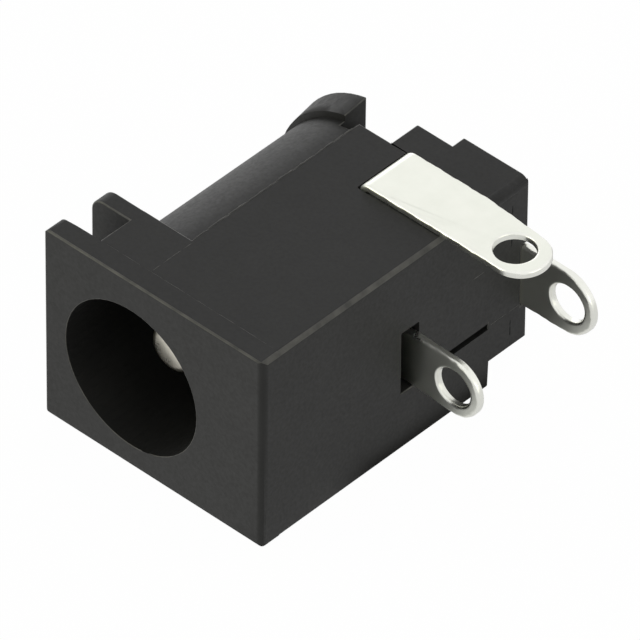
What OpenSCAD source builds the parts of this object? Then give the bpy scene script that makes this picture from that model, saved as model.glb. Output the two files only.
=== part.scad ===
// Panel and solder-lug barrel jack for a 5.5 x 2.1 mm power plug, lying on its flat side.
// Every module is drawn from the socket: x = 0 is the plug axis, y = 0 the front face and
// z = 0 the flat side that it rests on. The plug comes in along +y and the lugs point to +x.
// on_floor() then moves a finished piece to the middle of the floor under the whole jack.

/* [Flange] */
// Width of the front flange, from the barrel side to the terminal side
flange_w = 11; // [10.6:0.1:12]
// Height of the front flange, lying down
flange_h = 9; // [8.8:0.1:10]
// Thickness of the front flange
flange_t = 0.92; // [0.6:0.02:1.2]
// Rounding of the flange's two corners on the barrel side
flange_r = 0.3; // [0.1:0.05:0.5]
// Rounding of the upright front edge on the terminal side
upright_r = 0.3; // [0.1:0.05:0.5]
// Rounding of the flange's other front edges
front_r = 0.1; // [0.05:0.05:0.3]
// How far the flange stands proud of the body behind it
flange_step = 0.02; // [0.01:0.01:0.15]

/* [Socket] */
// Distance of the plug axis from the barrel side of the flange
axis_in = 4.36; // [4.2:0.02:4.6]
// Height of the plug axis above the flat side
axis_z = 4.3; // [4.2:0.05:4.6]
// Bore that takes the plug's sleeve
socket_d = 6.6; // [6.2:0.1:6.8]
// Depth of the bore
socket_depth = 10.4; // [9.8:0.1:10.8]
// Diameter of the plug's sleeve, which the leaf spring presses on
plug_d = 5.5; // [5.3:0.1:5.6]

/* [Barrel and rib] */
// Outer diameter of the round barrel
barrel_d = 8.3; // [8:0.05:8.4]
// Width of the panel groove between flange and rib
groove_w = 1.58; // [1.2:0.02:2]
// Depth of the panel groove from the flange's barrel side
groove_depth = 1.95; // [1.2:0.05:2.1]
// Thickness of the rib behind the groove
rib_t = 0.75; // [0.4:0.05:1]
// Rounding of the rib's two outer corners
rib_r = 0.6; // [0.3:0.05:1.2]

/* [Body] */
// Distance from the front face to the back of the slab
body_len = 12.28; // [12.2:0.02:13]
// Where the slab begins on the barrel side, from the plug axis
slab_in = 0; // [0:0.05:0.3]
// Rounding of the slab's upper long edge on the terminal side
slab_r = 0.2; // [0.1:0.05:0.4]
// Rounding of the slab's lower long edge on the terminal side
slab_low_r = 0.1; // [0.05:0.05:0.3]
// Length of the mould relief slit beside the middle terminal
slit_len = 3.3; // [2:0.1:3.6]
// Width of the mould relief slit
slit_w = 0.3; // [0.2:0.05:0.4]
// Depth of the mould relief slit
slit_depth = 1; // [0.4:0.1:1.4]

/* [Rear wall] */
// Thickness of the rear wall behind the slab
wall_t = 1.44; // [1.3:0.02:1.8]
// Outer diameter of the arch at its rear face
arch_d = 8.82; // [8.7:0.02:9]
// Outer diameter of the arch at its front face, where it stands round the barrel
arch_front_d = 8.5; // [8.4:0.02:8.6]
// How far the arch's front face lies behind the slab's end
arch_set = 0.25; // [0.05:0.05:0.5]
// Where the arch is cut off, towards the barrel side of the plug axis
arch_cut = 0.95; // [0.6:0.05:1.6]
// Top of the dip between the arch and the rear block
dip_top = 7.1; // [6.6:0.1:7.6]
// Where the rear block begins, from the plug axis
block_in = 1.6; // [1.4:0.05:2]
// Height of the rear block's underside above the floor
block_under = 1.18; // [0.8:0.02:1.4]
// Rounding of the rear block's upper edge on the terminal side
block_r = 0.4; // [0.2:0.05:0.6]
// Where the terminal rails begin, from the plug axis
rail_in = 3.35; // [3:0.05:4]
// How far the rails stand behind the rear wall
rail_t = 0.63; // [0.6:0.01:1]
// Rounding of the rails' rear upright edge and lower edge
rail_r = 0.1; // [0.05:0.05:0.2]

/* [Centre pin] */
// Diameter of the pin that the plug slides over
pin_d = 2.1; // [1.9:0.1:2.2]
// How far the pin's tip lies behind the front face
pin_recess = 2.1; // [1.5:0.1:3]
// Rounding of the pin's tip
tip_r = 0.3; // [0.1:0.05:0.5]
// Diameter of the thicker shank that sits in the wall behind the bore
shank_d = 2.6; // [2.55:0.05:2.7]
// Diameter of the tail that goes through the rear terminal
tail_d = 1.3; // [1:0.1:1.6]
// Diameter of the riveted head
rivet_d = 2; // [1.8:0.1:2.4]
// Height of the riveted head
rivet_h = 0.3; // [0.25:0.05:0.5]
// Rounding of the riveted head
rivet_r = 0.2; // [0.05:0.05:0.25]
// Clearance of the pin in the housing, all round
pin_gap = 0.02; // [0.01:0.01:0.05]

/* [Terminals] */
// Thickness of the terminal strip
strip_t = 0.3; // [0.2:0.05:0.35]
// Diameter of the solder eyelets
eye_d = 1.64; // [1.4:0.02:1.8]
// Clearance between a terminal and the slot that holds it
slot_gap = 0.05; // [0.02:0.01:0.1]

/* [Rear terminal] */
// Width of the rear terminal's strip
rear_w = 2.88; // [2.6:0.02:3]
// Middle of the rear terminal's strip above the floor
rear_z = 4.35; // [4.3:0.05:4.6]
// How far the strip's seat stands behind the rear wall
seat_t = 0.3; // [0.2:0.05:0.35]
// Eyelet end's middle, outwards from the terminal side
rear_reach = 2.1; // [1.8:0.05:2.6]
// How far the eyelet lies outside the middle of the rounded end
rear_eye_out = 0.15; // [0:0.05:0.2]

/* [Leaf spring] */
// Width of the spring strip
leaf_w = 2.5; // [2:0.1:2.6]
// Middle of the spring strip above the floor
leaf_z = 4; // [3.9:0.05:4.4]
// Width of the lug's rounded end
leaf_lug_w = 2.58; // [2.4:0.02:2.8]
// How far the lug's end lies below the strip's middle
leaf_lug_drop = 0.1; // [0:0.05:0.2]
// Distance of the lug's front side behind the front face
leaf_lug_y = 8.07; // [8:0.05:8.6]
// Lug end's middle, outwards from the terminal side
leaf_reach = 2; // [1.8:0.05:2.6]
// Width of the slot that the lug comes out of, in front of the lug
slot_front = 0.62; // [0.3:0.02:0.8]
// Lower side of the spring's pocket above the floor
pocket_low = 2.7; // [2.5:0.05:2.7]
// Upper side of the spring's pocket above the floor
pocket_top = 5.7; // [5.4:0.05:6]
// Distance of the spring's back run from the plug axis
back_run = 4.35; // [4.3:0.05:4.6]
// Bend radius where the lug turns into the back run
foot_r = 0.45; // [0.3:0.05:0.5]
// Radius of the hairpin bend at the spring's front end
hairpin_r = 0.45; // [0.4:0.05:0.5]
// Slope of the ramp that the plug slides up, in degrees
ramp_a = 18; // [16:1:22]
// Radius of the crest that touches the plug
crest_r = 1; // [0.8:0.1:1.2]
// Distance of the crest behind the front face
crest_y = 6.6; // [6.2:0.1:6.8]
// How far the crest stands in the way of the plug's sleeve
crest_press = 0.3; // [0.2:0.05:0.35]
// Slope of the spring behind the crest, in degrees
fall_a = 10; // [8:1:12]

/* [Switch contact] */
// Width of the switch strip where it enters the housing
switch_w = 2.6; // [2.2:0.1:2.8]
// Width of the switch lug's rounded end
switch_lug_w = 2.4; // [2.2:0.05:2.6]
// Middle of the switch strip behind the front face
switch_y = 10.9; // [10.7:0.05:11]
// How far the lug's end lies in front of the strip's middle
switch_lug_shift = 0.13; // [0:0.01:0.2]
// Lug end's middle, outwards from the terminal side
switch_reach = 2.76; // [2:0.02:3.2]
// How far the eyelet lies inside the middle of the rounded end
switch_eye_in = 0.25; // [0:0.05:0.4]
// Distance of the contact leg's outer side from the plug axis
leg_out = 2.75; // [2.7:0.05:2.9]
// Inner bend radius where the strip turns down into the housing
switch_bend = 0.2; // [0.1:0.05:0.3]
// Width of the narrow contact leg inside the housing
leg_w = 1.6; // [1.2:0.1:1.8]
// Depth of the wide part of the strip below the slab's top
shoulder_depth = 0.8; // [0.6:0.1:1.4]
// How far the contact leg reaches past the spring's middle
leg_past = 0.6; // [0.3:0.1:1]

/* [Hidden] */
$fn = 96;
// overlap of shapes that are joined face to face
eps = 0.01;
// overlap of the strip's straight and bent lengths
lap = 0.03;
// how far a cut reaches past a face, and a joined shape into its neighbour
past = 1;

// outline of the body
side_in = -axis_in;
side_out = flange_w - axis_in;
body_out = side_out - flange_step;
body_top = flange_h - flange_step;
groove_end = flange_t + groove_w;
rib_end = groove_end + rib_t;
arch_front = body_len + arch_set;
arch_z = flange_h / 2;
wall_end = body_len + wall_t;
rail_end = wall_end + rail_t;
seat_y = wall_end + seat_t;

// rear terminal and pin
rear_low = rear_z - rear_w / 2;
rear_top = rear_z + rear_w / 2;
rear_end_x = side_out + rear_reach;
rear_eye_x = rear_end_x + rear_eye_out;
rivet_y = seat_y + strip_t;
jack_len = rivet_y + rivet_h;

// switch contact
switch_end_x = side_out + switch_reach;
switch_end_y = switch_y - switch_lug_shift;
switch_eye_x = switch_end_x - switch_eye_in;
switch_tip_x = switch_end_x + switch_lug_w / 2;
leg_in = leg_out - strip_t;
leg_y = socket_depth + slot_gap;
leg_back = leg_y + leg_w;
leg_low = leaf_z - leg_past;
shoulder_z = body_top - shoulder_depth;

// leaf spring, along the middle of its strip
lug_mid_y = leaf_lug_y + strip_t / 2;
leaf_end_x = side_out + leaf_reach;
leaf_end_z = leaf_z - leaf_lug_drop;
crest_x = plug_d / 2 - crest_press + strip_t / 2;
tail_x = leg_out + strip_t / 2;
tail_end = leg_back - slot_gap;
ramp_low = back_run - hairpin_r - hairpin_r * cos(ramp_a);
ramp_high = crest_x + crest_r * (1 - cos(ramp_a));
ramp_len = (ramp_low - ramp_high) / sin(ramp_a);
ramp_high_y = crest_y - crest_r * sin(ramp_a);
hairpin_y = ramp_high_y - ramp_len * cos(ramp_a) + hairpin_r * sin(ramp_a);
hairpin_x = back_run - hairpin_r;
fall_start_x = crest_x + crest_r * (1 - cos(fall_a));
fall_start_y = crest_y + crest_r * sin(fall_a);
fall_end_x = tail_x - crest_r * (1 - cos(fall_a));
fall_len = (fall_end_x - fall_start_x) / sin(fall_a);
fall_end_y = fall_start_y + fall_len * cos(fall_a);
tail_start = fall_end_y + crest_r * sin(fall_a);

// pocket that the leaf spring moves in
pocket_room = 0.25;
pocket_out = back_run + strip_t / 2 + pocket_room;
pocket_front = hairpin_y - hairpin_r - strip_t / 2 - pocket_room;
pocket_back = tail_end + slot_gap;

// Moves a piece from the socket's axes to the middle of the floor under the whole jack.
module on_floor() {
    translate([-(side_in + switch_tip_x) / 2, -jack_len / 2, 0]) children();
}

// Extrudes an outline drawn in x and z from y0 to y1.
module along_y(y0, y1) {
    translate([0, y1, 0]) rotate([90, 0, 0]) linear_extrude(y1 - y0) children();
}

// Extrudes an outline drawn in y and z from x0 to x1.
module along_x(x0, x1) {
    translate([x0, 0, 0]) rotate([90, 0, 90]) linear_extrude(x1 - x0) children();
}

// Cylinder or cone along +y from y0 to y1, at the height z.
module round_y(y0, y1, z, d0, d1) {
    translate([0, y0, z]) rotate([-90, 0, 0]) cylinder(h = y1 - y0, d1 = d0, d2 = d1);
}

// Rectangle from p to q. r holds the radii of its corners: lower left, lower right, upper right
// and upper left.
module rounded(p, q, r) {
    corner = [p, [q.x, p.y], q, [p.x, q.y]];
    way = [[1, 1], [-1, 1], [-1, -1], [1, -1]];
    difference() {
        translate(p) square(q - p);
        for (i = [0 : 3]) if (r[i] > 0)
            translate(corner[i]) difference() {
                translate([way[i].x > 0 ? -eps : -r[i], way[i].y > 0 ? -eps : -r[i]])
                    square(r[i] + eps);
                translate(r[i] * way[i]) circle(r[i]);
            }
    }
}

// Straight length of strip, seen on its edge, from p to q. It laps a little into the bend at each end.
module run(p, q) {
    way = q - p;
    translate(p) rotate(atan2(way.y, way.x))
        translate([-lap, -strip_t / 2]) square([norm(way) + 2 * lap, strip_t]);
}

// Bent length of strip, seen on its edge, round c at the radius r from angle a0 to a1.
module bend(c, r, a0, a1) {
    far = 3 * (r + strip_t);
    mid = (a0 + a1) / 2;
    translate(c) intersection() {
        difference() {
            circle(r + strip_t / 2);
            circle(r - strip_t / 2);
        }
        polygon([[0, 0], for (a = [a0, mid, a1]) far * [cos(a), sin(a)]]);
    }
}

// Lug seen flat on: a straight strip from x0, of width w0, that narrows outside the housing to a
// round end of width w1 at x1, which is moved sideways by shift.
module lug(x0, w0, x1, w1, shift) {
    translate([x0, -w0 / 2]) square([side_out - x0, w0]);
    polygon([
        [side_out - eps, -w0 / 2], [x1, shift - w1 / 2],
        [x1, shift + w1 / 2], [side_out - eps, w0 / 2],
    ]);
    translate([x1, shift]) circle(d = w1);
}

// Front flange with its rounded corners and front edges.
module flange() {
    intersection() {
        along_y(0, flange_t)
            rounded([side_in, 0], [side_out, flange_h], [flange_r, slab_low_r, slab_r, flange_r]);
        linear_extrude(flange_h)
            rounded([side_in, 0], [side_out, flange_t], [front_r, upright_r, 0, 0]);
        along_x(side_in, side_out) rounded([0, 0], [flange_t, flange_h], front_r * [1, 0, 0, 1]);
    }
}

// Neck in the panel groove, and the rib behind it.
module neck_and_rib() {
    along_y(flange_t - eps, rib_end + eps)
        rounded([side_in + groove_depth, 0], [slab_in + past, body_top], [0, 0, 0, 0]);
    along_y(groove_end, rib_end)
        rounded([side_in, 0], [slab_in + past, body_top], rib_r * [1, 0, 0, 1]);
}

// Flat slab that carries the terminals, and the round barrel beside it.
module slab_and_barrel() {
    along_y(flange_t - eps, body_len)
        rounded([slab_in, 0], [body_out, body_top], [0, slab_low_r, slab_r, 0]);
    round_y(flange_t - eps, body_len, axis_z, barrel_d, barrel_d);
}

// Rear wall: the barrel's end under its arch, the dip and the rear block.
module rear_wall() {
    intersection() {
        union() {
            round_y(body_len - eps, wall_end, axis_z, barrel_d, barrel_d);
            round_y(arch_front, wall_end, arch_z, arch_front_d, arch_d);
        }
        along_y(body_len - eps, wall_end)
            translate([side_in, 0]) square([axis_in - arch_cut, flange_h]);
    }
    along_y(body_len - eps, wall_end)
        translate([-arch_cut - eps, block_under])
            square([arch_cut + block_in + 2 * eps, dip_top - block_under]);
    intersection() {
        along_y(body_len - eps, rail_end)
            rounded([block_in, block_under], [body_out, body_top], [0, rail_r, block_r, 0]);
        linear_extrude(flange_h) {
            translate([block_in, 0]) square([body_out - block_in, wall_end]);
            rounded([rail_in, body_len - past], [body_out, rail_end], rail_r * [0, 0, 1, 0]);
        }
    }
}

// Raised seat of the rear terminal, round the pin's shank.
module terminal_seat() {
    along_y(wall_end - eps, seat_y) {
        translate([0, rear_low - slot_gap]) square([body_out, rear_w + 2 * slot_gap]);
        translate([0, rear_z]) circle(d = rear_w + 2 * slot_gap);
    }
}

// Channel between the rails, down to the seat.
module terminal_channel() {
    along_y(seat_y, rail_end + past)
        translate([0, rear_low - slot_gap]) square([side_out + past, rear_w + 2 * slot_gap]);
}

// Hole for the centre pin's shank.
module pin_hole() {
    hole_d = shank_d + 2 * pin_gap;
    round_y(socket_depth - past, seat_y + past, axis_z, hole_d, hole_d);
}

// Pocket for the leaf spring, the slot of its lug and the relief slit behind it.
module spring_pocket() {
    slot_back = leaf_lug_y + strip_t + slot_gap;
    translate([0, pocket_front, pocket_low])
        cube([pocket_out, socket_depth - pocket_front, pocket_top - pocket_low]);
    translate([leg_in - slot_gap, socket_depth - eps, pocket_low])
        cube([pocket_out - leg_in + slot_gap, pocket_back - socket_depth + eps, pocket_top - pocket_low]);
    translate([pocket_out - eps, leaf_lug_y - slot_front, pocket_low])
        cube([side_out - pocket_out + past, slot_back - leaf_lug_y + slot_front, pocket_top - pocket_low]);
    translate([body_out - slit_depth, body_len - slit_len, pocket_low + slit_w / 2])
        cube([slit_depth + past, slit_len - slot_gap, slit_w]);
}

// Slot that the switch contact goes down into.
module switch_slot() {
    slot_x = leg_in - slot_gap;
    slot_w = strip_t + 2 * slot_gap;
    translate([slot_x, switch_y - switch_w / 2 - slot_gap, shoulder_z - slot_gap])
        cube([slot_w, switch_w + 2 * slot_gap, shoulder_depth + past]);
    translate([slot_x, leg_y - slot_gap, leg_low - slot_gap])
        cube([slot_w, leg_w + 2 * slot_gap, body_top - leg_low + past]);
    translate([leg_out + slot_gap - eps, switch_y - switch_w / 2 - slot_gap, body_top - switch_bend])
        cube([switch_bend + eps, switch_w + 2 * slot_gap, switch_bend + past]);
}

module housing() {
    color([0.13, 0.13, 0.13]) on_floor() difference() {
        union() {
            flange();
            neck_and_rib();
            slab_and_barrel();
            rear_wall();
            terminal_seat();
        }
        round_y(-past, socket_depth, axis_z, socket_d, socket_d);
        spring_pocket();
        switch_slot();
        pin_hole();
        terminal_channel();
    }
}

// Turned pin: rounded tip, plain shaft, thicker shank, and a tail riveted over the rear terminal.
module centre_pin() {
    shaft_len = socket_depth - pin_recess;
    shank_len = seat_y - socket_depth;
    full_len = jack_len - pin_recess;
    color([0.8, 0.78, 0.72]) on_floor()
        translate([0, pin_recess, axis_z]) rotate([-90, 0, 0]) rotate_extrude() {
            rounded([0, 0], [pin_d / 2, shaft_len + eps], tip_r * [0, 1, 0, 0]);
            translate([0, shaft_len]) square([shank_d / 2, shank_len]);
            translate([0, shaft_len]) square([tail_d / 2, full_len - shaft_len]);
            translate([0, full_len - rivet_h])
                rounded([0, 0], [rivet_d / 2, rivet_h], rivet_r * [0, 0, 1, 0]);
        }
}

// Flat strip behind the body that carries the pin, with its solder lug.
module pin_terminal() {
    color([0.82, 0.82, 0.8]) on_floor() difference() {
        along_y(seat_y, seat_y + strip_t) translate([0, rear_z]) {
            lug(0, rear_w, rear_end_x, rear_w, 0);
            circle(d = rear_w);
        }
        round_y(seat_y - past, seat_y + past, axis_z, tail_d, tail_d);
        translate([rear_eye_x, seat_y - past, rear_z])
            rotate([-90, 0, 0]) cylinder(h = 2 * past, d = eye_d);
    }
}

// The spring's course from its foot to its free end, seen on its edge.
module leaf_course() {
    foot = [back_run + foot_r, lug_mid_y - foot_r];
    bend(foot, foot_r, 90, 180);
    run([back_run, lug_mid_y - foot_r], [back_run, hairpin_y]);
    bend([hairpin_x, hairpin_y], hairpin_r, -90, 0);
    bend([hairpin_x, hairpin_y], hairpin_r, ramp_a - 180, -90);
    run([ramp_low, hairpin_y - hairpin_r * sin(ramp_a)], [ramp_high, ramp_high_y]);
    bend([crest_x + crest_r, crest_y], crest_r, 180 - fall_a, 180 + ramp_a);
    run([fall_start_x, fall_start_y], [fall_end_x, fall_end_y]);
    bend([tail_x - crest_r, tail_start], crest_r, -fall_a, 0);
    run([tail_x, tail_start], [tail_x, tail_end - lap]);
}

// Solder lug and leaf spring, folded from one strip.
module spring_contact() {
    foot_x = back_run + foot_r;
    color([0.82, 0.82, 0.8]) on_floor() {
        translate([0, 0, leaf_z - leaf_w / 2]) linear_extrude(leaf_w) leaf_course();
        difference() {
            along_y(leaf_lug_y, leaf_lug_y + strip_t)
                translate([0, leaf_z]) lug(foot_x - lap, leaf_w, leaf_end_x, leaf_lug_w, leaf_end_z - leaf_z);
            translate([leaf_end_x, leaf_lug_y - past, leaf_end_z])
                rotate([-90, 0, 0]) cylinder(h = 2 * past, d = eye_d);
        }
    }
}

// Lug on the slab's top, bent down into the housing as the leg that the leaf spring rests on.
module switch_contact() {
    bend_r = switch_bend + strip_t / 2;
    strip_top = flange_h + strip_t;
    bend_x = leg_out + switch_bend;
    bend_z = flange_h - switch_bend;
    color([0.82, 0.82, 0.8]) on_floor() {
        difference() {
            translate([0, switch_y, flange_h]) linear_extrude(strip_t)
                lug(bend_x, switch_w, switch_end_x, switch_lug_w, switch_end_y - switch_y);
            translate([switch_eye_x, switch_end_y, flange_h - past])
                cylinder(h = 2 * past, d = eye_d);
        }
        along_y(switch_y - switch_w / 2, switch_y + switch_w / 2) {
            bend([bend_x, bend_z], bend_r, 90, 180);
            translate([leg_in, shoulder_z]) square([strip_t, bend_z - shoulder_z]);
        }
        translate([leg_in, leg_y, leg_low]) cube([strip_t, leg_w, shoulder_z - leg_low + eps]);
    }
}

housing();
centre_pin();
pin_terminal();
spring_contact();
switch_contact();
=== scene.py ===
import math
from collections import Counter

import bmesh
import bpy
import numpy as np
from mathutils import Matrix, Vector
from mathutils.bvhtree import BVHTree


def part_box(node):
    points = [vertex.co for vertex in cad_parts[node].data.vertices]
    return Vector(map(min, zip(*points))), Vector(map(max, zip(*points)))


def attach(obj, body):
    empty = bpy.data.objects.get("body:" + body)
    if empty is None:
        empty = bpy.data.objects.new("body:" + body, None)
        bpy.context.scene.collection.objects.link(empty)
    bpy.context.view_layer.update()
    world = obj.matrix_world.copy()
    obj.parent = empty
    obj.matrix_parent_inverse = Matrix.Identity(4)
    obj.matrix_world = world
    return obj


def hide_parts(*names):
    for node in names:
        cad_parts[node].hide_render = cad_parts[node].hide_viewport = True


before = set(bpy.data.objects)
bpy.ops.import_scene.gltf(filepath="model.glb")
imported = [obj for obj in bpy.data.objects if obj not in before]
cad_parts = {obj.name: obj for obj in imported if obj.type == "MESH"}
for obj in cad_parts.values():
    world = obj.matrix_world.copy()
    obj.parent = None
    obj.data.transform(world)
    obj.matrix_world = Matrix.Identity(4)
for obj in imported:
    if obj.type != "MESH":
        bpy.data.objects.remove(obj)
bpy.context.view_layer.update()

# Camera
# A long lens looks down on the socket's corner from the terminal side, so that the upright
# edges stay almost parallel. Its aim is measured from the flange's lower corner.
MM = 0.001
CAMERA_FAR = 480         # from the aim, mm
corner, far_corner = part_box("housing")
azimuth, elevation, roll = (math.radians(angle) for angle in (42.616, 41.447, 0.54))
back = Vector((math.sin(azimuth) * math.cos(elevation), -math.cos(azimuth) * math.cos(elevation),
               math.sin(elevation)))
level = Vector((math.cos(azimuth), math.sin(azimuth), 0))
above = back.cross(level)
right = level * math.cos(roll) + above * math.sin(roll)
up = above * math.cos(roll) - level * math.sin(roll)
middle = Vector((5.5, 7, 4.5))   # of the housing, mm
aim = corner + (middle + right * 1.3395 - up * 0.8615) * MM
camera_data = bpy.data.cameras.new("camera")
camera_data.lens = 731.4
camera_data.sensor_width = 36
camera_data.clip_start = 0.05
camera_data.clip_end = 20
camera = bpy.data.objects.new("camera", camera_data)
camera.matrix_world = (Matrix.Translation(aim + back * CAMERA_FAR * MM)
                       @ Matrix((right, up, back)).transposed().to_4x4())
bpy.context.collection.objects.link(camera)
bpy.context.scene.camera = camera
bpy.context.scene.view_settings.view_transform = "Standard"


# Housing
# The real one is black glass-filled PBT, injection moulded in a spark-eroded steel mould. The
# flats come out matt, and every corner has a small radius, painted paler: a painted highlight for
# the light that the radius catches, partly also wear from handling.
EDGE_R = 0.07            # radius of the moulded corners, mm
EDGE_BITE = math.radians(40)   # where two faces turn by more than this, the corner gets the radius
RIM_SHARE = 0.45         # share of that radius on the bore's rim
RIM_REACH = 3.5          # the rim's edges are within this distance of the mouth's middle, mm
OFF = 0.01               # a ray starts this far off the face that it leaves, mm
SLIT_DEEP = 0.3          # a corner is a slit's if another wall stands before it this deep, mm
SLIT_WIDE = 1.0          # and no farther away than this, mm
SOCKET_X = 4.36          # the plug's axis, from the housing's lower corner, mm
SOCKET_Z = 4.3
SLAB_END = 12.28         # back of the slab, from the front face, mm
SLAB_EDGE_Z = 8.7        # the slab's upper edge lies above this, mm
FRONT_EDGE = 0.11        # the front's rounded edge ends this far back, mm
UPRIGHT_X = 10.75        # beyond this the front's rounded edge is the upright one, mm
LEAN = (0.17, 0.985)     # sines of 10 and 80 degrees, between which a rounded edge's faces lean
PITS = 0.16              # the steel's pits are 0.03 mm wide and would not show, so they are coarser, mm
PIT_DEEP = 0.006         # and this deep
MEET = 0.0005            # points closer than this are one, mm


def linear(colour):
    """Linear RGBA of an sRGB hex colour such as "1f1f1e"."""
    parts = np.array([int(colour[i:i + 2], 16) for i in (0, 2, 4)]) / 255
    low = parts / 12.92
    high = ((parts + 0.055) / 1.055) ** 2.4
    return (*np.where(parts <= 0.04045, low, high), 1)


def add(material, kind, inputs=(), **settings):
    """Adds one node. settings are its own properties; inputs are pairs of a socket and the value
    or the other node's socket that it takes."""
    tree = material.node_tree
    node = tree.nodes.new("ShaderNode" + kind)
    for name, value in settings.items():
        setattr(node, name, value)
    for name, value in dict(inputs).items():
        if isinstance(value, bpy.types.NodeSocket):
            tree.links.new(value, node.inputs[name])
        else:
            node.inputs[name].default_value = value
    return node


def new_material(name):
    """An empty material, and the object's own coordinates that its patterns read."""
    material = bpy.data.materials.new(name)
    material.use_nodes = True
    material.node_tree.nodes.clear()
    return material, add(material, "TexCoord").outputs["Object"]


def per(size):
    """Scale of a pattern whose repeat is size in mm."""
    return 1 / (size * MM)


def moulded(name, dark, pale, rough, patch, skin=None):
    """Moulded PBT: a matt skin whose gloss and colour wander from patch to patch where the melt
    met the steel, under the fine pitting that spark erosion leaves. Given a skin colour, the
    finish comes out of that skin as far as the mesh's own attribute for the edge highlight says:
    a paler colour painted on as a highlight, partly also wear."""
    material, place = new_material(name)
    flow = add(material, "TexNoise", {"Vector": place, "Scale": per(patch), "Detail": 3.0})
    patches = add(material, "MapRange", {"Value": flow.outputs["Fac"], "From Min": 0.3,
                                         "From Max": 0.7})
    grain = add(material, "TexNoise", {"Vector": place, "Scale": per(PITS), "Detail": 2.0,
                                       "Roughness": 0.6})
    mix = add(material, "MixRGB", {"Fac": patches.outputs["Result"], "Color1": linear(dark),
                                   "Color2": linear(pale)})
    if skin:
        highlight_and_wear = add(material, "Attribute", attribute_name="highlight_and_wear")
        mix = add(material, "MixRGB", {"Fac": highlight_and_wear.outputs["Fac"], "Color1": linear(skin),
                                       "Color2": mix.outputs["Color"]})
    gloss = add(material, "MapRange", {"Value": grain.outputs["Fac"], "From Min": 0.3, "From Max": 0.7,
                                       "To Min": rough - 0.05, "To Max": rough + 0.07})
    pits = add(material, "Bump", {"Height": grain.outputs["Fac"], "Strength": 0.35,
                                  "Distance": PIT_DEEP * MM})
    shader = add(material, "BsdfPrincipled", {
        "Base Color": mix.outputs["Color"], "Roughness": gloss.outputs["Result"],
        "Normal": pits.outputs["Normal"], "Specular IOR Level": 0.3})
    add(material, "OutputMaterial", {"Surface": shader.outputs["BSDF"]})
    return material


# Black PBT as moulded: nearly black, with an even, dull sheen and slow, faint clouds.
body_plastic = moulded("black_pbt", "232322", "292928", 0.5, 1.6)
# The same, paler, on the rounded edges: a painted highlight for the light that the radius catches,
# partly also the filler that rubbing bares, in a soft, paler line.
edge_highlight_and_wear_plastic = moulded("black_pbt_edge_highlight_and_wear", "565653", "797873", 0.42, 0.6, "262625")


def smooth(mesh, angle):
    """Shades a mesh smooth, apart from edges sharper than angle in degrees."""
    mesh.polygons.foreach_set("use_smooth", np.ones(len(mesh.polygons), bool))
    mesh.set_sharp_from_angle(angle=math.radians(angle))


def dress(name, mesh, materials, stands_for=()):
    """Makes a piece of a mesh that is in place, rides it on the one body and gives its finish."""
    piece = bpy.data.objects.new(name, mesh)
    bpy.context.collection.objects.link(piece)
    for material in materials:
        mesh.materials.append(material)
    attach(piece, "root")
    for node in stands_for:
        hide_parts(node)
    return piece


def merged_copy(node):
    """A copy of a CAD node's mesh with its loose triangles joined and its flat faces whole."""
    solid = bmesh.new()
    solid.from_mesh(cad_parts[node].data)
    bmesh.ops.remove_doubles(solid, verts=solid.verts, dist=MEET * MM)
    bmesh.ops.dissolve_limit(solid, angle_limit=math.radians(0.05), verts=solid.verts,
                             edges=solid.edges)
    bmesh.ops.recalc_face_normals(solid, faces=solid.faces)
    return solid


def room(corner_loop):
    """How far a face goes on from the middle of one of its edges, square to it, before it meets
    another edge. The loop names the face and the edge."""
    start = corner_loop.vert.co
    way = (corner_loop.link_loop_next.vert.co - start).normalized()
    inwards = corner_loop.face.normal.cross(way)
    half = corner_loop.edge.calc_length() / 2
    far = []
    for loop in corner_loop.face.loops:
        arm, reach = loop.vert.co - start, loop.link_loop_next.vert.co - start
        s0, s1 = arm.dot(way) - half, reach.dot(way) - half
        if s0 * s1 < 0:
            t0, t1 = arm.dot(inwards), reach.dot(inwards)
            far.append(t0 + (t1 - t0) * s0 / (s0 - s1))
    return min((t for t in far if t > 0.001 * MM), default=0)


def weigh_corners(solid):
    """Gives bevel weight to the corners that a hand can touch: sharper than EDGE_BITE, between
    faces wide enough to take the radius, with open air before them, and not on a narrow slit.
    The bore's rim gets a finer radius."""
    tree = BVHTree.FromBMesh(solid)
    weights = solid.edges.layers.float.new("bevel_weight_edge")
    for edge in solid.edges:
        if not edge.is_manifold or edge.calc_face_angle_signed() < EDGE_BITE:
            continue
        if min(room(loop) for loop in edge.link_loops) < 2 * EDGE_R * MM:
            continue
        one, other = (face.normal for face in edge.link_faces)
        halfway = (edge.verts[0].co + edge.verts[1].co) / 2
        out = (one + other).normalized()
        if tree.ray_cast(halfway + out * OFF * MM, out)[0] is not None:
            continue
        sides = ((one, other), (other, one))
        if any(tree.ray_cast(halfway + (a * OFF - b * SLIT_DEEP) * MM, a, SLIT_WIDE * MM)[0]
               for a, b in sides):
            continue
        from_axis = (halfway - corner) / MM - Vector((SOCKET_X, 0, SOCKET_Z))
        edge[weights] = RIM_SHARE if from_axis.length < RIM_REACH else 1


def highlit_and_worn_corners(solid):
    """Faces of the rounded edges that get the paler colour, a painted highlight with some wear: along
    the front, and along the slab's upper edge on the terminal side. The upright edge between them
    keeps its skin."""
    found = []
    for face in solid.faces:
        x, y, z = (np.array([vert.co for vert in face.verts]) - corner).T / MM
        n = face.normal
        on_front = LEAN[0] < -n.y < LEAN[1] and y.max() < FRONT_EDGE
        upright = x.max() >= UPRIGHT_X and n.z <= LEAN[0]
        on_slab = min(n.x, n.z) > LEAN[0] and z.min() > SLAB_EDGE_Z and y.max() < SLAB_END + EDGE_R
        if on_front and not upright or on_slab:
            found.append(face)
    return found


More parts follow.
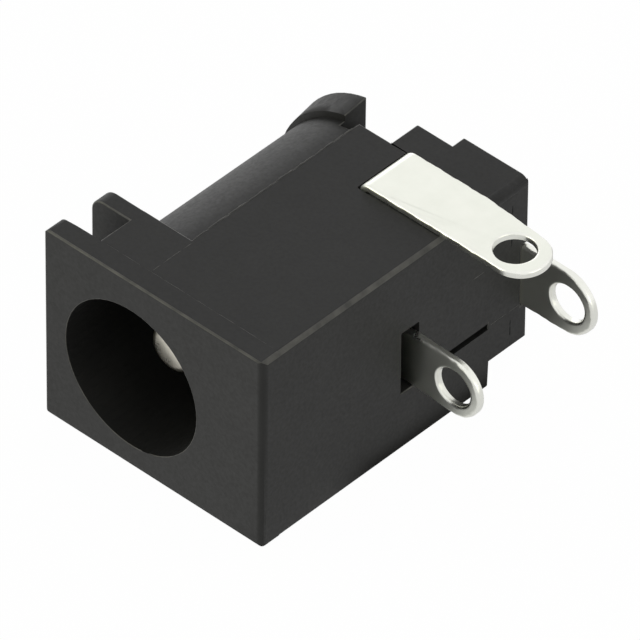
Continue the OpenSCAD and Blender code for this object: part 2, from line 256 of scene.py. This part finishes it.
body_solid = merged_copy("housing")
weigh_corners(body_solid)
# The front's and the slab's rounded faces take the paler material: a painted edge highlight, partly wear.
for face in highlit_and_worn_corners(body_solid):
    face.material_index = 1
body_mesh = bpy.data.meshes.new("moulded_housing")
body_solid.to_mesh(body_mesh)
body_solid.free()
smooth(body_mesh, 30)
body = dress("moulded_housing", body_mesh, [body_plastic, edge_highlight_and_wear_plastic], ["housing"])
corners = body.modifiers.new("corners", "BEVEL")
corners.limit_method = "WEIGHT"
corners.width = EDGE_R * MM
corners.segments = 3
corners.use_clamp_overlap = False
# The radius's faces take the paler material: a painted edge highlight, partly wear.
corners.material = 1


ARCH_Z = 4.5             # axis of the arch, mm
ARCH_END = 13.8          # its back, from the front face, mm
ROUND_R = (4.0, 4.5)     # the barrel's and the arch's radii lie between these, mm
FLAT = 0.15              # a face larger than this is a flat, square mm


def round_axis(face_middle, normal):
    """Height of the axis that a face of the barrel or of the arch turns round, or None for the
    other faces."""
    x, y, z = (face_middle - corner) / MM
    arch_start = SLAB_END + 0.2
    for axis_z, y0, y1 in ((SOCKET_Z, 0, arch_start), (ARCH_Z, arch_start, ARCH_END)):
        radial = Vector((x - SOCKET_X, 0, z - axis_z))
        on_round = y0 < y < y1 and ROUND_R[0] < radial.length < ROUND_R[1]
        if on_round and radial.normalized().dot(normal) > 0.995:
            return axis_z
    return None


def true_normals(mesh):
    """Gives the flats one normal all over and the round faces normals that point away from their
    axis, so that neither the long facets nor the corners' radius show in the shading."""
    normals = [Vector(n.vector) for n in mesh.corner_normals]
    for face in mesh.polygons:
        axis_z = round_axis(face.center, face.normal)
        for i in face.loop_indices:
            if axis_z is not None:
                place = (mesh.vertices[mesh.loops[i].vertex_index].co - corner) / MM
                radial = Vector((place.x - SOCKET_X, 0, place.z - axis_z)).normalized()
                normals[i] = (radial + Vector((0, face.normal.y, 0))).normalized()
            elif face.area > FLAT * MM * MM:
                normals[i] = face.normal
    mesh.normals_split_custom_set(normals)


def paint_edge_highlight_and_wear(mesh):
    """Writes the attribute of the painted edge highlight, partly wear, on the pale edges: full where
    two of their long faces meet and none on their borders, so that the painted pale line fades out
    to both sides."""
    highlit_faces = [face for face in mesh.polygons if face.material_index == 1]
    times = Counter(key for face in highlit_faces for key in face.edge_keys)
    length = {key: (mesh.vertices[key[0]].co - mesh.vertices[key[1]].co).length for key in times}
    highlight_and_wear = np.zeros(len(mesh.loops), np.float32)
    for face in highlit_faces:
        for i in face.loop_indices:
            at_corner = [key for key in face.edge_keys if mesh.loops[i].vertex_index in key]
            highlight_and_wear[i] = times[max(at_corner, key=length.get)] == 2
    mesh.attributes.new("highlight_and_wear", "FLOAT", "CORNER").data.foreach_set("value", highlight_and_wear)


finished = bpy.data.meshes.new_from_object(body.evaluated_get(bpy.context.evaluated_depsgraph_get()))
body.modifiers.clear()
body.data = finished
true_normals(finished)
paint_edge_highlight_and_wear(finished)


# Centre pin
# A turned brass pin, nickel plated, with a domed tip and a thicker shank. The lathe leaves fine
# rings round it, which the plating softens.
PIN_R = 1.05             # the pin's radius, mm
SHANK_R = 1.3            # the shank's, which sits in the wall
TAIL_R = 0.65            # the tail's, which goes through the rear terminal
HEAD_R = 1.0             # the riveted head's
TIP_Y = 2.1              # the tip, behind the front face
SHANK_Y = (10.4, 14.02)  # the shank's ends
HEAD_Y = (14.32, 14.62)  # the head's
DOME = (0.36, 0.33)      # rounding of the tip, along the pin and across it
ROOT = (0.1, 0.03)       # where the pin widens to the shank, likewise
PEEN = ((0.18, 0), (0.09, 0.05), (0.03, 0.14), (0, 0.28))  # hammered edge, in from the head's end and side
SHANK_EDGE = 0.04        # chamfers
HEAD_EDGE = 0.03
PIN_STEPS = 96           # round the pin
CREASE = 40              # the metal's edges sharper than this are drawn sharp, degrees


def plated(name, pale, dim, rough, wave):
    """A plated metal: bright, with soft clouds of thinner plating in its colour and its gloss,
    and waves of the given size and height in mm, left by rolling or turning, under the shine."""
    material, place = new_material(name)
    cloud = add(material, "TexNoise", {"Vector": place, "Scale": per(0.9), "Detail": 4.0})
    tone = add(material, "MixRGB", {"Fac": cloud.outputs["Fac"], "Color1": linear(dim),
                                    "Color2": linear(pale)})
    gloss = add(material, "MapRange", {"Value": cloud.outputs["Fac"], "From Min": 0.3, "From Max": 0.7,
                                       "To Min": rough + 0.05, "To Max": rough - 0.04})
    swell = add(material, "TexNoise", {"Vector": place, "Scale": per(wave[0]), "Detail": 2.0})
    relief = add(material, "Bump", {"Height": swell.outputs["Fac"], "Strength": 0.5,
                                    "Distance": wave[1] * MM})
    shader = add(material, "BsdfPrincipled", {
        "Base Color": tone.outputs["Color"], "Roughness": gloss.outputs["Result"],
        "Normal": relief.outputs["Normal"], "Metallic": 1.0})
    add(material, "OutputMaterial", {"Surface": shader.outputs["BSDF"]})
    return material


def dotted(points, gap):
    """A line through the given points, with more between them where they are far apart, about gap
    from one to the next."""
    rows = [np.linspace(one, other, max(1, int(math.dist(one, other) / gap)), endpoint=False)
            for one, other in zip(points, points[1:])]
    return np.vstack(rows + [points[-1:]])


def rounding(end_y, side_r, size):
    """Quarter of an ellipse in a profile's points (y, r), from the flat end at end_y out to the
    side at side_r. size is its two half axes."""
    turn = np.radians(np.linspace(0, 90, 6))
    return np.stack([end_y + size[0] * (1 - np.cos(turn)), side_r - size[1] * (1 - np.sin(turn))], 1)


def spun(profile):
    """Grid of a turned shape: every profile point (y, r) carried round the pin's axis, at
    x = r cos a and z = r sin a."""
    angle = np.linspace(0, 2 * math.pi, PIN_STEPS, endpoint=False)
    y, r = profile.T
    grid = np.stack([np.outer(r, np.cos(angle)), np.repeat(y[:, None], PIN_STEPS, 1),
                     np.outer(r, np.sin(angle))], -1)
    return grid + (SOCKET_X, 0, SOCKET_Z)


def grid_quads(rows, steps, ring=True):
    """Quads of a grid of points, row by row. Its rows are closed rings unless ring is False."""
    row, step = np.meshgrid(np.arange(rows - 1), np.arange(steps if ring else steps - 1), indexing="ij")
    after = (step + 1) % steps
    quads = np.stack([row * steps + step, row * steps + after, (row + 1) * steps + after,
                      (row + 1) * steps + step], -1)
    return quads.reshape(-1, 4)


def sheet(name, points, quads):
    """A closed mesh from points in mm, measured from the housing's lower corner, and quads over
    them. Points that meet are joined, which closes the seams and the poles."""
    mesh = bpy.data.meshes.new(name)
    places = np.array(corner) + np.reshape(points, (-1, 3)) * MM
    mesh.from_pydata(places.tolist(), [], quads.tolist())
    solid = bmesh.new()
    solid.from_mesh(mesh)
    bmesh.ops.remove_doubles(solid, verts=solid.verts, dist=MEET * MM)
    bmesh.ops.recalc_face_normals(solid, faces=solid.faces)
    solid.to_mesh(mesh)
    solid.free()
    return mesh


# Nickel plate on turned brass: a warm, satin white that the lathe's fine rings blur.
nickel = plated("nickel_plate", "f3efe2", "dcd7c8", 0.3, (0.12, 0.002))
pin_profile = np.vstack([
    (TIP_Y, 0),
    rounding(TIP_Y, PIN_R, DOME),
    (SHANK_Y[0] - ROOT[0], PIN_R), (SHANK_Y[0], PIN_R + ROOT[1]),
    (SHANK_Y[0], SHANK_R - SHANK_EDGE), (SHANK_Y[0] + SHANK_EDGE, SHANK_R),
    (SHANK_Y[1] - SHANK_EDGE, SHANK_R), (SHANK_Y[1], SHANK_R - SHANK_EDGE),
    (SHANK_Y[1], TAIL_R), (HEAD_Y[0], TAIL_R),
    (HEAD_Y[0], HEAD_R - HEAD_EDGE), (HEAD_Y[0] + HEAD_EDGE, HEAD_R),
    (HEAD_Y[1], HEAD_R) - np.array(PEEN),
    (HEAD_Y[1], 0),
])
pin_rows = spun(dotted(pin_profile, 0.4))
pin_mesh = sheet("turned_pin", pin_rows, grid_quads(len(pin_rows), PIN_STEPS))
smooth(pin_mesh, CREASE)
dress("turned_pin", pin_mesh, [nickel], ["centre_pin"])


# Rear terminal
# A flat strip stamped from tin-plated brass, with a round end riveted on the pin and a solder
# eyelet at the other. The punch rolls the edges on the side that it enters, which catch the light.
STRIP_T = 0.3            # the stock's thickness, mm
EYE_R = 0.82             # radius of the solder eyelets' holes, mm
ROLL = 0.11              # how far the punch rolls an edge, mm
BURR = 0.025             # radius of the edge on the far side, mm
HEM = 0.04               # flat border beside a rolled edge, which keeps the flats flat, mm
NECK_STEPS = 9           # points across the strip's flats


def edge_levels(roll):
    """The rolled edge of a strip from its face to its back, as pairs of the distance in from the
    edge and the height over the strip's middle: a quarter circle of the roll's radius, the sheared
    wall, and the burr's small quarter circle."""
    turn = np.radians(np.linspace(0, 90, 7))
    top = np.stack([roll * (1 - np.sin(turn)), STRIP_T / 2 - roll * (1 - np.cos(turn))], 1)
    turn = np.radians(np.linspace(0, 90, 4))
    low = np.stack([BURR * (1 - np.cos(turn)), BURR * (1 - np.sin(turn)) - STRIP_T / 2], 1)
    return np.vstack([(roll + HEM, STRIP_T / 2), top, low, (BURR + HEM, -STRIP_T / 2)])


def across_flat(half, inset):
    """Places across the strip's flat between its two edges."""
    return np.linspace(half - inset, inset - half, NECK_STEPS + 2)[1:-1]


def section(half):
    """Closed ring round the strip's section, as pairs across and over the strip: one edge down,
    the back, the other edge up, and the face."""
    levels = edge_levels(ROLL)
    down = np.stack([levels[:, 0] - half, levels[:, 1]], 1)
    up_edge = down[::-1] * (-1, 1)
    back_side = np.stack([across_flat(half, BURR + HEM)[::-1], np.full(NECK_STEPS, -STRIP_T / 2)], 1)
    face_side = np.stack([across_flat(half, ROLL + HEM), np.full(NECK_STEPS, STRIP_T / 2)], 1)
    return np.vstack([down, back_side, up_edge, face_side])


def outline(straight, half, end, end_r, shift):
    """Open outline of a lug seen flat on, from one side of its neck at 0 round the end to the
    other: parallel as far as straight, then narrowing to the round end of radius end_r."""
    angle = np.radians(np.linspace(-90, 90, 49))
    tip = np.stack([end + end_r * np.cos(angle), shift + end_r * np.sin(angle)], 1)
    return dotted(np.vstack([(0, -half), (straight, -half), tip, (straight, half), (0, half)]), 0.12)


def stamped_end(path, hole, hole_r):
    """Points (along, across, over) and quads of a strip's end with its hole, open at the neck.
    Each level of the edge is the outline moved inwards along its normals, and each level of the
    hole's edge is a ring whose points look at the outline's. The rolled levels wander in width by
    two sines of the length run along the outline, or of the angle round the hole."""
    way = np.gradient(path, axis=0)
    inwards = np.stack([-way[:, 1], way[:, 0]], 1) / np.linalg.norm(way, axis=1)[:, None]
    inwards[0] = (0, 1)
    inwards[-1] = (0, -1)
    run = np.cumsum(np.r_[0, np.linalg.norm(np.diff(path, axis=0), axis=1)])
    fade = np.clip(np.minimum(run, run[-1] - run) / 0.6, 0, 1)
    wander = 1 + fade * (0.16 * np.sin(5.1 * run + hole_r) + 0.10 * np.sin(13.7 * run))
    inset, height = edge_levels(ROLL).T[:, :, None]
    rolled = (inset > 0) & (height > BURR - STRIP_T / 2)
    stretch = np.where(rolled, wander, 1)
    rows = path + inwards * (inset * stretch)[..., None]
    heights = STRIP_T / 2 + (height - STRIP_T / 2) * stretch
    edge = np.dstack([rows, heights]).reshape(-1, 3)
    levels, count = stretch.shape
    half = path[-1, 1]
    necks = [np.stack([np.full(NECK_STEPS, path[0, 0]), across_flat(half, border), np.full(NECK_STEPS, z)], 1)
             for border, z in ((ROLL + HEM, STRIP_T / 2), (BURR + HEM, -STRIP_T / 2))]
    face_loop = np.r_[np.arange(count), levels * count + np.arange(NECK_STEPS)]
    back_loop = np.r_[(levels - 1) * count + np.arange(count),
                      levels * count + NECK_STEPS + np.arange(NECK_STEPS)]
    flats = np.vstack([edge, *necks])
    rim = flats[face_loop, :2] - hole
    look = np.arctan2(rim[:, 1], rim[:, 0])
    flutter = 1 + 0.12 * np.sin(3 * look + 1) + 0.08 * np.sin(7 * look)
    reach = hole_r + inset * np.where(rolled, flutter, 1)
    bore = np.dstack([hole[0] + reach * np.cos(look), hole[1] + reach * np.sin(look),
                      np.broadcast_to(height, reach.shape)]).reshape(-1, 3)
    first = len(flats)
    size = len(look)
    last = first + (levels - 1) * size
    caps = [np.stack([loop, np.roll(loop, -1), start + (np.arange(size) + 1) % size,
                      start + np.arange(size)], 1)
            for loop, start in ((face_loop, first), (back_loop, last))]
    quads = [grid_quads(levels, count, ring=False), first + grid_quads(levels, size), *caps]
    return np.vstack([flats, bore]), np.vstack(quads)


def laid(points, origin, along, across, over):
    """Puts points of the form (along, across, over) in place, in mm."""
    return np.array(origin) + points @ np.array([along, across, over], float)


def joined(pieces):
    """One array of points and one of quads from several pairs of them."""
    starts = np.cumsum([0] + [len(points) for points, quads in pieces])
    return (np.vstack([points for points, quads in pieces]),
            np.vstack([quads + start for start, (points, quads) in zip(starts, pieces)]))


def cut_edges(mesh, axis, start):
    """Gives the second finish to the rolled edges and the sheared walls of a strip's end: the
    faces past start, in mm along x, that don't look along the strip's thickness, which is along
    y for axis 1 and along z for axis 2."""
    for face in mesh.polygons:
        if abs(face.normal[axis]) < 0.95 and (face.center.x - corner.x) / MM > start:
            face.material_index = 1


# Bright tin on rolled brass: a clean, cool white that keeps a soft image of the tent.
tin = plated("bright_tin", "f4f5ec", "e6e8de", 0.33, (0.9, 0.002))
# The same tin over rolled and sheared edges: its ripples break the light into small glints.
sheared_tin = plated("sheared_tin", "fcfcf6", "e2e3da", 0.28, (0.22, 0.02))
SIDE_X = 11              # terminal side of the housing, from its barrel side, mm
REAR_HALF = 1.44         # half the strip's width, which is also the radius of both its ends, mm
REAR_END = 13.1          # middle of the round end
REAR_EYE = 13.25         # middle of the eyelet's hole
REAR_Z = 4.35            # middle of the strip
REAR_Y = 14.17           # middle of its thickness, from the front face
RIVET_HOLE_R = 0.67
REAR_CUT_X = 9           # the cut edges show as cut beyond this
SPLIT_X = 8.0            # the strip's two ends are made apart and meet here
eyelet_points, eyelet_quads = stamped_end(
    outline(SIDE_X - SPLIT_X, REAR_HALF, REAR_END - SPLIT_X, REAR_HALF, 0), (REAR_EYE - SPLIT_X, 0), EYE_R)
rivet_x = SPLIT_X - SOCKET_X
rivet_points, rivet_quads = stamped_end(
    outline(rivet_x - 0.1, REAR_HALF, rivet_x, REAR_HALF, 0), (rivet_x, 0), RIVET_HOLE_R)
split_place = (SPLIT_X, REAR_Y, REAR_Z)
rear_points, rear_quads = joined([
    (laid(eyelet_points, split_place, (1, 0, 0), (0, 0, 1), (0, -1, 0)), eyelet_quads),
    (laid(rivet_points, split_place, (-1, 0, 0), (0, 0, 1), (0, -1, 0)), rivet_quads),
])
rear_mesh = sheet("rear_terminal", rear_points, rear_quads)
smooth(rear_mesh, CREASE)
cut_edges(rear_mesh, 1, REAR_CUT_X)
dress("rear_terminal", rear_mesh, [tin, sheared_tin], ["pin_terminal"])


# Leaf spring and its lug
# One tin-plated bronze strip: the lug comes out of its slot, and the spring runs forward inside
# the wall, turns back in a hairpin, ramps up to the crest that presses on the plug and falls
# away to the tail that rests on the switch contact.
LEAF_HALF = 1.25         # half the strip's width, mm
LEAF_Z = 4.0             # middle of the strip
LEAF_Y = 8.22            # middle of the lug's thickness, from the front face
LEAF_END = 13.0          # middle of the lug's round end, from the barrel side
LEAF_END_R = 1.29
LEAF_DROP = 0.1          # the round end sits this far below the strip's middle
LEAF_CUT_X = 10.5        # the cut edges show as cut beyond this
BEND_R = 0.45            # hairpin and foot
BACK_RUN = 4.35          # the run beside the wall, from the plug's axis
CREST_X = 2.6            # the crest, from the plug's axis
CREST_Y = 6.6            # and from the front face
CREST_R = 1.0            # also the radius of the bend before the tail
TAIL_X = 2.9             # the tail, from the plug's axis
TAIL_END = 12.0          # and its end, from the front face
RAMP_A = math.radians(18)
FALL_A = math.radians(10)


def course(heading, legs):
    """Middle line of a folded strip, drawn like a turtle's walk from (0, 0). Each leg is a pair of
    a radius and an angle in radians, or of None and a length. A bend goes round a centre on its
    inner side in short chords, each of which heads halfway between its ends. Returns the points
    and the headings at them."""
    steps, swings = [], []
    for radius, amount in legs:
        if radius is None:
            count = max(2, int(amount / 0.5))
            steps += [amount / count] * count
            swings += [0] * count
        else:
            count = max(4, round(abs(math.degrees(amount))) // 5)
            steps += [2 * radius * math.sin(abs(amount) / count / 2)] * count
            swings += [amount / count] * count
    headings = heading + np.cumsum([0] + swings)
    halfway = headings[:-1] + np.array(swings) / 2
    moves = np.array(steps)[:, None] * np.stack([np.cos(halfway), np.sin(halfway)], 1)
    return np.vstack([(0, 0), np.cumsum(moves, axis=0)]), headings


def folded(walk, headings, half):
    """Points (along, across, over) and quads of a strip's ring carried down its course; the first
    ring is drawn together to its middle, which closes the cut end."""
    ring = section(half)
    normal = np.stack([-np.sin(headings), np.cos(headings)], 1)
    places = walk[:, None] + ring[:, 1:] * normal[:, None]
    across = np.broadcast_to(ring[:, 0], places.shape[:2])
    rows = np.stack([places[..., 0], across, places[..., 1]], -1)
    cap = np.broadcast_to(rows[0].mean(0), (1, *rows.shape[1:]))
    return np.vstack([cap, rows]).reshape(-1, 3), grid_quads(len(rows) + 1, len(ring))


ramp = (BACK_RUN - CREST_X - BEND_R - CREST_R + (CREST_R - BEND_R) * math.cos(RAMP_A)) / math.sin(RAMP_A)
fall = (TAIL_X - CREST_X - 2 * CREST_R * (1 - math.cos(FALL_A))) / math.sin(FALL_A)
hairpin_y = CREST_Y + (BEND_R - CREST_R) * math.sin(RAMP_A) - ramp * math.cos(RAMP_A)
tail_y = CREST_Y + 2 * CREST_R * math.sin(FALL_A) + fall * math.cos(FALL_A)
leaf_walk, leaf_headings = course(math.pi / 2, (
    (None, TAIL_END - tail_y),
    (CREST_R, FALL_A),
    (None, fall),
    (CREST_R, -FALL_A - RAMP_A),
    (None, ramp),
    (BEND_R, RAMP_A - math.pi),
    (None, LEAF_Y - BEND_R - hairpin_y),
    (BEND_R, math.pi / 2),
))
leaf_strip = folded(leaf_walk - leaf_walk[-1], leaf_headings, LEAF_HALF)
leaf_start = SOCKET_X + BACK_RUN + BEND_R
leaf_lug = stamped_end(
    outline(SIDE_X - leaf_start, LEAF_HALF, LEAF_END - leaf_start, LEAF_END_R, -LEAF_DROP),
    (LEAF_END - leaf_start, -LEAF_DROP), EYE_R)
leaf_points, leaf_quads = joined([leaf_strip, leaf_lug])
leaf_place = (leaf_start, LEAF_Y, LEAF_Z)
leaf_mesh = sheet("leaf_spring", laid(leaf_points, leaf_place, (1, 0, 0), (0, 0, 1), (0, -1, 0)), leaf_quads)
smooth(leaf_mesh, CREASE)
cut_edges(leaf_mesh, 1, LEAF_CUT_X)
dress("leaf_spring", leaf_mesh, [tin, sheared_tin], ["spring_contact"])


# Switch contact
# A strip that lies on the slab with its lug over the side. Its inner end turns down into the
# housing as the leg that the spring's tail rests on until a plug lifts it off.
SWITCH_HALF = 1.3        # half the strip's width, mm
SWITCH_Y = 10.9          # its middle, from the front face
SWITCH_Z = 9.15          # middle of its thickness
SWITCH_X = 2.95          # start of its flat, from the plug's axis
SWITCH_BEND = 0.35       # radius of the bend down into the housing
SHOULDER = 0.62          # the full width goes this far down below the bend
SWITCH_END = 13.76       # middle of the round end, from the barrel side
SWITCH_END_R = 1.2
SWITCH_EYE = 13.51       # middle of the eyelet's hole
SWITCH_SHIFT = 0.13      # both sit this far forward of the strip's middle
SWITCH_CUT_X = 8         # the cut edges show as cut beyond this
LEG_HALF = 0.8           # half the leg's width
LEG_SHIFT = 0.35         # the leg stands this far behind the strip's middle
LEG = 4.8                # its length below the shoulder
LEG_LAP = 0.2            # and how far it goes up into the shoulder
switch_walk, switch_headings = course(math.pi / 2, ((None, SHOULDER), (SWITCH_BEND, -math.pi / 2)))
switch_walk = switch_walk - switch_walk[-1]
switch_strip = folded(switch_walk, switch_headings, SWITCH_HALF)
switch_start = SOCKET_X + SWITCH_X
switch_lug = stamped_end(
    outline(SIDE_X - switch_start, SWITCH_HALF, SWITCH_END - switch_start, SWITCH_END_R, -SWITCH_SHIFT),
    (SWITCH_EYE - switch_start, -SWITCH_SHIFT), EYE_R)
leg_walk, leg_headings = course(math.pi / 2, ((None, LEG + LEG_LAP),))
leg_points, leg_quads = folded(leg_walk + switch_walk[0] - (0, LEG), leg_headings, LEG_HALF)
switch_points, switch_quads = joined([switch_strip, switch_lug, (leg_points + (0, LEG_SHIFT, 0), leg_quads)])
switch_place = (switch_start, SWITCH_Y, SWITCH_Z)
switch_mesh = sheet("switch_contact_strip",
                    laid(switch_points, switch_place, (1, 0, 0), (0, 1, 0), (0, 0, 1)), switch_quads)
smooth(switch_mesh, CREASE)
cut_edges(switch_mesh, 2, SWITCH_CUT_X)
dress("switch_contact_strip", switch_mesh, [tin, sheared_tin], ["switch_contact"])


# Mould lines
# Where the mould's plates meet, the melt creeps in and leaves thin raised lines: along the slab's
# edge over the barrel, behind the flange, across the rails, and on the terminal side. The two
# seams on the rails are grooves, drawn as black raised lines of painted shade.
RIDGE_STEPS = 10         # points round a line's section
SUNK = 0.025             # the lines' middles lie this far under the surface, mm
TOP = 9 - SUNK           # on the slab, from the floor
SIDE = SIDE_X - SUNK     # on the terminal side


def ridge(start, end, across, lift, half, height, seed):
    """Grid of a thin raised line from start to end, in mm: a flattened ring at every 0.08 mm. Its
    width and height swell and fade with three sines of the length, and both ends run out."""
    start, end, across, lift = (np.array(v, float) for v in (start, end, across, lift))
    length = np.linalg.norm(end - start)
    t = np.linspace(0, 1, max(8, int(length / 0.08)))
    s = t * length
    swell = 1 + 0.3 * np.sin(5.3 * s + seed) + 0.25 * np.sin(11.9 * s + 2 * seed) + 0.2 * np.sin(23 * s)
    ends = np.sqrt(np.clip(1 - (2 * t - 1) ** 8, 0, 1))
    sway = 0.25 * half * np.sin(2.1 * s + seed)
    angle = np.linspace(0, 2 * math.pi, RIDGE_STEPS, endpoint=False)
    side = np.cos(angle) * half
    rise = np.maximum(np.sin(angle), -0.5) * height
    return (start + t[:, None, None] * (end - start)
            + (sway[:, None] + (swell * ends)[:, None] * side)[..., None] * across
            + ((np.clip(swell, 0.3, 1.4) / 1.4 * ends)[:, None] * rise)[..., None] * lift)


LINES = (
    # start, end, across, lift, half width, height, seed
    ((4.38, 3.30, TOP), (4.38, 12.2, TOP), (1, 0, 0), (0, 0, 1), 0.034, 0.022, 1.0),
    ((4.50, 1.00, TOP), (4.50, 3.20, TOP), (1, 0, 0), (0, 0, 1), 0.02, 0.012, 2.0),
    ((2.20, 0.94, TOP), (10.7, 0.94, TOP), (0, 1, 0), (0, 0, 1), 0.018, 0.014, 7.0),
    ((SIDE, 11.20, 5.87), (SIDE, 12.04, 5.87), (0, 0, 1), (1, 0, 0), 0.02, 0.012, 5.0),
    ((SIDE, 12.30, 3.00), (SIDE, 14.04, 3.00), (0, 0, 1), (1, 0, 0), 0.02, 0.012, 6.0),
)
GROOVE_SHADE_LINES = (
    # the rails' seam is a groove, and its shade is painted: a black raised line stands for it
    ((SIDE, 13.45, 1.25), (SIDE, 13.45, 2.84), (0, 1, 0), (1, 0, 0), 0.03, 0.01, 3.0),
    ((SIDE, 13.45, 5.86), (SIDE, 13.45, 8.55), (0, 1, 0), (1, 0, 0), 0.03, 0.01, 4.0),
)
# Flash at the mould's parting: a thin ridge, coloured grey as a painted highlight for the light it
# catches, partly also wear, in a broken line.
flash_and_highlight_plastic = moulded("black_pbt_flash_and_painted_highlight", "343433", "64635f", 0.45, 0.5)
# Painted shade: a nearly black, rough raised line stands for the shade in the seam's groove.
groove_shade_plastic = moulded("black_pbt_painted_groove_shade", "040404", "0a0a0a", 0.8, 0.5)
for name, lines, finish in (("mould_lines", LINES, flash_and_highlight_plastic), ("painted_groove_shade_lines", GROOVE_SHADE_LINES, groove_shade_plastic)):
    grids = [ridge(*line) for line in lines]
    points, quads = joined([(grid.reshape(-1, 3), grid_quads(len(grid), RIDGE_STEPS)) for grid in grids])
    mesh = sheet(name, points, quads)
    smooth(mesh, 60)
    dress(name, mesh, [finish])


# Lights, floor and background
# The jack stands on white paper in a light tent, with a softbox low before the socket, a weaker
# one beside the lugs and a faint one behind. The tent mirrors as white but lights it less.
LAMPS = (
    # place in mm from the jack's middle, size in mm, power in W, colour
    ((-120, -200, 15), 160, 0.15, (1, 0.99, 0.72)),
    ((230, 20, 50), 160, 0.05, (1, 1, 0.8)),
    ((-190, 135, 35), 130, 0.05, (1, 1, 1)),
)
TENT_LIGHT = 0.3         # what the tent gives the jack's matt faces, of its own white
for at, size, power, colour in LAMPS:
    lamp_data = bpy.data.lights.new("softbox", "AREA")
    lamp_data.color = colour
    lamp_data.size = size * MM
    lamp_data.energy = power
    lamp = bpy.data.objects.new("softbox", lamp_data)
    spot = Vector(at) * MM
    lamp.matrix_world = Matrix.Translation(spot) @ spot.to_track_quat("Z", "Y").to_matrix().to_4x4()
    bpy.context.collection.objects.link(lamp)

world = bpy.data.worlds.new("light_tent")
world.use_nodes = True
world.node_tree.nodes.clear()
seen = add(world, "LightPath")
direct = add(world, "Math", {0: seen.outputs["Is Camera Ray"], 1: seen.outputs["Is Glossy Ray"]},
             operation="MAXIMUM")
white_seen = add(world, "Math", {0: direct.outputs["Value"], 1: seen.outputs["Is Transmission Ray"]},
                 operation="MAXIMUM")
strength = add(world, "MapRange", {"Value": white_seen.outputs["Value"], "To Min": TENT_LIGHT,
                               "To Max": 1.0})
backdrop = add(world, "Background", {"Color": (1, 1, 1, 1), "Strength": strength.outputs["Result"]})
add(world, "OutputWorld", {"Surface": backdrop.outputs["Background"]})
bpy.context.scene.world = world

FLOOR = 400              # half its width, mm
FLOOR_GAP = 0.02         # it lies this far under the jack, so that their faces don't meet, mm
PAPER_SHINE = 0.935      # share of plain white in what the eye sees of the paper, over its shadow
MIRRORED = (0.95, 0.66)  # how bright the paper's painted glow is in reflections, left of the jack's side and right of it
PASSAGE = (-2, 1)        # where the one goes over into the other, from that side, mm
SHADE_OUT = (0.42, 0.55)  # how far out the painted shadow strip under the lugs fades, from that side, mm
SHADE_IN = 4             # how far it goes in under the housing, mm
SHADE_BACK = (4, 6)      # where it begins, behind the front face, mm
floor_mesh = bpy.data.meshes.new("floor")
edge = FLOOR * MM
floor_mesh.from_pydata([(-edge, -edge, 0), (edge, -edge, 0), (edge, edge, 0), (-edge, edge, 0)],
                       [], [(0, 1, 2, 3)])
# White paper: matt. Where it is seen it shows nearly plain white; where it is mirrored it glows
# as painted light, brighter left of the jack's side, with a painted shadow strip under the lugs.
paper, on_paper = new_material("white_paper")
matt = add(paper, "BsdfDiffuse", {"Color": linear("c8c8c8")})
white = add(paper, "Emission", {"Color": (1, 1, 1, 1), "Strength": 1.05})
seen = add(paper, "LightPath")
place = add(paper, "SeparateXYZ", {"Vector": on_paper})
shown = add(paper, "Math", {0: seen.outputs["Is Camera Ray"], 1: PAPER_SHINE}, operation="MULTIPLY")
# Painted shadow: in reflections the paper's glow is taken away in a strip under the lugs.
inside = add(paper, "Math", {0: place.outputs["X"], 1: far_corner.x - SHADE_IN / 2 * MM},
             operation="SUBTRACT")
inside = add(paper, "Math", {0: inside.outputs["Value"]}, operation="ABSOLUTE")
by_side = add(paper, "MapRange", {"Value": inside.outputs["Value"],
                                  "From Min": (SHADE_IN / 2 + SHADE_OUT[1]) * MM,
                                  "From Max": (SHADE_IN / 2 + SHADE_OUT[0]) * MM})
by_lugs = add(paper, "MapRange", {"Value": place.outputs["Y"],
                                  "From Min": corner.y + SHADE_BACK[0] * MM,
                                  "From Max": corner.y + SHADE_BACK[1] * MM})
shade = add(paper, "Math", {0: by_side.outputs["Result"], 1: by_lugs.outputs["Result"]},
            operation="MULTIPLY")
lit = add(paper, "Math", {0: seen.outputs["Is Glossy Ray"], 1: shade.outputs["Value"]},
          operation="SUBTRACT", use_clamp=True)
# Painted light: in reflections the paper glows brighter left of the jack's side than right of it.
sides = add(paper, "MapRange", {"Value": place.outputs["X"],
                                "From Min": far_corner.x + PASSAGE[0] * MM,
                                "From Max": far_corner.x + PASSAGE[1] * MM,
                                "To Min": MIRRORED[0], "To Max": MIRRORED[1]})
mirrored = add(paper, "Math", {0: lit.outputs["Value"], 1: sides.outputs["Result"]},
               operation="MULTIPLY")
whitened = add(paper, "Math", {0: shown.outputs["Value"], 1: mirrored.outputs["Value"]},
               operation="MAXIMUM")
top = add(paper, "MixShader", {0: whitened.outputs["Value"], 1: matt.outputs["BSDF"],
                               2: white.outputs["Emission"]})
below = add(paper, "NewGeometry").outputs["Backfacing"]
clear = add(paper, "BsdfTransparent").outputs["BSDF"]
both = add(paper, "MixShader", {0: below, 1: top.outputs["Shader"], 2: clear})
add(paper, "OutputMaterial", {"Surface": both.outputs["Shader"]})
floor_mesh.materials.append(paper)
floor = bpy.data.objects.new("floor", floor_mesh)
floor.location.z = -FLOOR_GAP * MM
bpy.context.collection.objects.link(floor)
